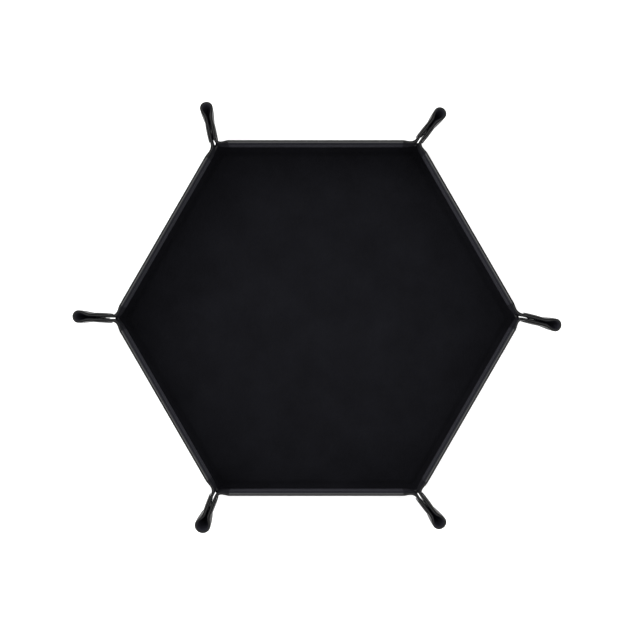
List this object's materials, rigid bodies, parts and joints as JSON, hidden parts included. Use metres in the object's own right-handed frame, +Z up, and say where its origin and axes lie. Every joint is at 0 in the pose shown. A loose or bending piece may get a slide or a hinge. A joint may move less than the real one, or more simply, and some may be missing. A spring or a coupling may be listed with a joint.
{
  "type": "folding dice tray",
  "caption": "Hexagonal folding tray of leather lined with velvet, its six walls held up by press studs in folded corner ears; unsnaps to lie flat.",
  "frame": {"origin": "centre of the tray on the surface that it stands on", "axes": "+Z up; +X towards the corner between walls 5 and 6; +Y towards wall 1"},
  "size_m": [0.2421, 0.2135, 0.0363],
  "materials": {
    "leather": "fine grain, semi-matt",
    "velvet": "short pile velvet",
    "board": "plain grey board",
    "cap_lacquer": "black lacquer",
    "stud_metal": "nickel plated"
  },
  "bodies": {
    "floor": {"floor_leather": "leather", "floor_lining": "velvet", "floor_board": "board"},
    "wall_1": {"wall_leather_1": "leather", "wall_lining_1": "velvet", "wall_board_1": "board"},
    "wall_2": {"wall_leather_2": "leather", "wall_lining_2": "velvet", "wall_board_2": "board"},
    "wall_3": {"wall_leather_3": "leather", "wall_lining_3": "velvet", "wall_board_3": "board"},
    "wall_4": {"wall_leather_4": "leather", "wall_lining_4": "velvet", "wall_board_4": "board"},
    "wall_5": {"wall_leather_5": "leather", "wall_lining_5": "velvet", "wall_board_5": "board"},
    "wall_6": {"wall_leather_6": "leather", "wall_lining_6": "velvet", "wall_board_6": "board"},
    "gusset_left_1": {"ear_left_1": "leather", "snap_cap_1": "cap_lacquer", "snap_socket_1": "stud_metal"},
    "gusset_right_1": {"ear_right_1": "leather", "snap_stud_1": "stud_metal"},
    "turn_1": {"ear_fold_1": "leather"},
    "gusset_left_2": {"ear_left_2": "leather", "snap_cap_2": "cap_lacquer", "snap_socket_2": "stud_metal"},
    "gusset_right_2": {"ear_right_2": "leather", "snap_stud_2": "stud_metal"},
    "turn_2": {"ear_fold_2": "leather"},
    "gusset_left_3": {"ear_left_3": "leather", "snap_cap_3": "cap_lacquer", "snap_socket_3": "stud_metal"},
    "gusset_right_3": {"ear_right_3": "leather", "snap_stud_3": "stud_metal"},
    "turn_3": {"ear_fold_3": "leather"},
    "gusset_left_4": {"ear_left_4": "leather", "snap_cap_4": "cap_lacquer", "snap_socket_4": "stud_metal"},
    "gusset_right_4": {"ear_right_4": "leather", "snap_stud_4": "stud_metal"},
    "turn_4": {"ear_fold_4": "leather"},
    "gusset_left_5": {"ear_left_5": "leather", "snap_cap_5": "cap_lacquer", "snap_socket_5": "stud_metal"},
    "gusset_right_5": {"ear_right_5": "leather", "snap_stud_5": "stud_metal"},
    "turn_5": {"ear_fold_5": "leather"},
    "gusset_left_6": {"ear_left_6": "leather", "snap_cap_6": "cap_lacquer", "snap_socket_6": "stud_metal"},
    "gusset_right_6": {"ear_right_6": "leather", "snap_stud_6": "stud_metal"},
    "turn_6": {"ear_fold_6": "leather"}
  },
  "joints": [
    {"name": "wall_fold_1", "type": "hinge", "parent": "floor", "child": "wall_1", "pos_m": [0, 0.0867, 0.0023], "axis": [-1, 0, 0], "range_deg": [0, 90]},
    {"name": "wall_fold_2", "type": "hinge", "parent": "floor", "child": "wall_2", "pos_m": [-0.07508, 0.04335, 0.0023], "axis": [-0.5, -0.866, 0], "range_deg": [0, 90]},
    {"name": "wall_fold_3", "type": "hinge", "parent": "floor", "child": "wall_3", "pos_m": [-0.07508, -0.04335, 0.0023], "axis": [0.5, -0.866, 0], "range_deg": [0, 90]},
    {"name": "wall_fold_4", "type": "hinge", "parent": "floor", "child": "wall_4", "pos_m": [0, -0.0867, 0.0023], "axis": [1, 0, 0], "range_deg": [0, 90]},
    {"name": "wall_fold_5", "type": "hinge", "parent": "floor", "child": "wall_5", "pos_m": [0.07508, -0.04335, 0.0023], "axis": [0.5, 0.866, 0], "range_deg": [0, 90]},
    {"name": "wall_fold_6", "type": "hinge", "parent": "floor", "child": "wall_6", "pos_m": [0.07508, 0.04335, 0.0023], "axis": [-0.5, 0.866, 0], "range_deg": [0, 90]},
    {"name": "left_crease_1", "type": "hinge", "parent": "wall_1", "child": "gusset_left_1", "pos_m": [-0.0501, 0.089, 0.0023], "axis": [0, 0, 1], "range_deg": [0, 78]},
    {"name": "right_crease_1", "type": "hinge", "parent": "wall_2", "child": "gusset_right_1", "pos_m": [-0.05336, 0.08558, 0.0023], "axis": [0, 0, -1], "range_deg": [0, 42]},
    {"name": "ear_turn_1", "type": "hinge", "parent": "gusset_left_1", "child": "turn_1", "pos_m": [-0.052, 0.08855, 0.0023], "axis": [0.104, -0.4891, -0.866], "range_deg": [0, 179]},
    {"name": "left_crease_2", "type": "hinge", "parent": "wall_2", "child": "gusset_left_2", "pos_m": [-0.10174, 0.00178, 0.0023], "axis": [0, 0, 1], "range_deg": [0, 63]},
    {"name": "right_crease_2", "type": "hinge", "parent": "wall_3", "child": "gusset_right_2", "pos_m": [-0.10154, -0.00214, 0.0023], "axis": [0, 0, -1], "range_deg": [0, 57]},
    {"name": "ear_turn_2", "type": "hinge", "parent": "gusset_left_2", "child": "turn_2", "pos_m": [-0.10257, -0.00013, 0.0023], "axis": [0.4993, -0.0262, -0.866], "range_deg": [0, 179]},
    {"name": "left_crease_3", "type": "hinge", "parent": "wall_3", "child": "gusset_left_3", "pos_m": [-0.05287, -0.08643, 0.0023], "axis": [0, 0, 1], "range_deg": [0, 51]},
    {"name": "right_crease_3", "type": "hinge", "parent": "wall_4", "child": "gusset_right_3", "pos_m": [-0.04967, -0.089, 0.0023], "axis": [0, 0, -1], "range_deg": [0, 69]},
    {"name": "ear_turn_3", "type": "hinge", "parent": "gusset_left_3", "child": "turn_3", "pos_m": [-0.05163, -0.08866, 0.0023], "axis": [0.1792, 0.4668, -0.866], "range_deg": [0, 179]},
    {"name": "left_crease_4", "type": "hinge", "parent": "wall_4", "child": "gusset_left_4", "pos_m": [0.0486, -0.089, 0.0023], "axis": [0, 0, 1], "range_deg": [0, 53]},
    {"name": "right_crease_4", "type": "hinge", "parent": "wall_5", "child": "gusset_right_4", "pos_m": [0.05229, -0.08742, 0.0023], "axis": [0, 0, -1], "range_deg": [0, 67]},
    {"name": "ear_turn_4", "type": "hinge", "parent": "gusset_left_4", "child": "turn_4", "pos_m": [0.05103, -0.08899, 0.0023], "axis": [-0.3009, 0.3993, -0.866], "range_deg": [0, 179]},
    {"name": "left_crease_5", "type": "hinge", "parent": "wall_5", "child": "gusset_left_5", "pos_m": [0.10204, -0.00127, 0.0023], "axis": [0, 0, 1], "range_deg": [0, 74]},
    {"name": "right_crease_5", "type": "hinge", "parent": "wall_6", "child": "gusset_right_5", "pos_m": [0.10103, 0.003, 0.0023], "axis": [0, 0, -1], "range_deg": [0, 46]},
    {"name": "ear_turn_5", "type": "hinge", "parent": "gusset_left_5", "child": "turn_5", "pos_m": [0.10264, 0.00059, 0.0023], "axis": [-0.4851, 0.121, -0.866], "range_deg": [0, 179]},
    {"name": "left_crease_6", "type": "hinge", "parent": "wall_6", "child": "gusset_left_6", "pos_m": [0.05227, 0.08747, 0.0023], "axis": [0, 0, 1], "range_deg": [0, 68]},
    {"name": "right_crease_6", "type": "hinge", "parent": "wall_1", "child": "gusset_right_6", "pos_m": [0.04851, 0.089, 0.0023], "axis": [0, 0, -1], "range_deg": [0, 52]},
    {"name": "ear_turn_6", "type": "hinge", "parent": "gusset_left_6", "child": "turn_6", "pos_m": [0.051, 0.08902, 0.0023], "axis": [-0.3078, -0.394, -0.866], "range_deg": [0, 179]}
  ],
  "couplings": [
    {"joint": "wall_fold_2", "follows": "wall_fold_1", "ratio": 1},
    {"joint": "wall_fold_3", "follows": "wall_fold_1", "ratio": 1},
    {"joint": "wall_fold_4", "follows": "wall_fold_1", "ratio": 1},
    {"joint": "wall_fold_5", "follows": "wall_fold_1", "ratio": 1},
    {"joint": "wall_fold_6", "follows": "wall_fold_1", "ratio": 1},
    {"joint": "left_crease_1", "follows": "wall_fold_1", "ratio": 0.86667},
    {"joint": "right_crease_1", "follows": "wall_fold_1", "ratio": 0.46667},
    {"joint": "ear_turn_1", "follows": "wall_fold_1", "ratio": 1.9889},
    {"joint": "left_crease_2", "follows": "wall_fold_1", "ratio": 0.7},
    {"joint": "right_crease_2", "follows": "wall_fold_1", "ratio": 0.63333},
    {"joint": "ear_turn_2", "follows": "wall_fold_1", "ratio": 1.9889},
    {"joint": "left_crease_3", "follows": "wall_fold_1", "ratio": 0.56667},
    {"joint": "right_crease_3", "follows": "wall_fold_1", "ratio": 0.76667},
    {"joint": "ear_turn_3", "follows": "wall_fold_1", "ratio": 1.9889},
    {"joint": "left_crease_4", "follows": "wall_fold_1", "ratio": 0.58889},
    {"joint": "right_crease_4", "follows": "wall_fold_1", "ratio": 0.74444},
    {"joint": "ear_turn_4", "follows": "wall_fold_1", "ratio": 1.9889},
    {"joint": "left_crease_5", "follows": "wall_fold_1", "ratio": 0.82222},
    {"joint": "right_crease_5", "follows": "wall_fold_1", "ratio": 0.51111},
    {"joint": "ear_turn_5", "follows": "wall_fold_1", "ratio": 1.9889},
    {"joint": "left_crease_6", "follows": "wall_fold_1", "ratio": 0.75556},
    {"joint": "right_crease_6", "follows": "wall_fold_1", "ratio": 0.57778},
    {"joint": "ear_turn_6", "follows": "wall_fold_1", "ratio": 1.9889}
  ]
}
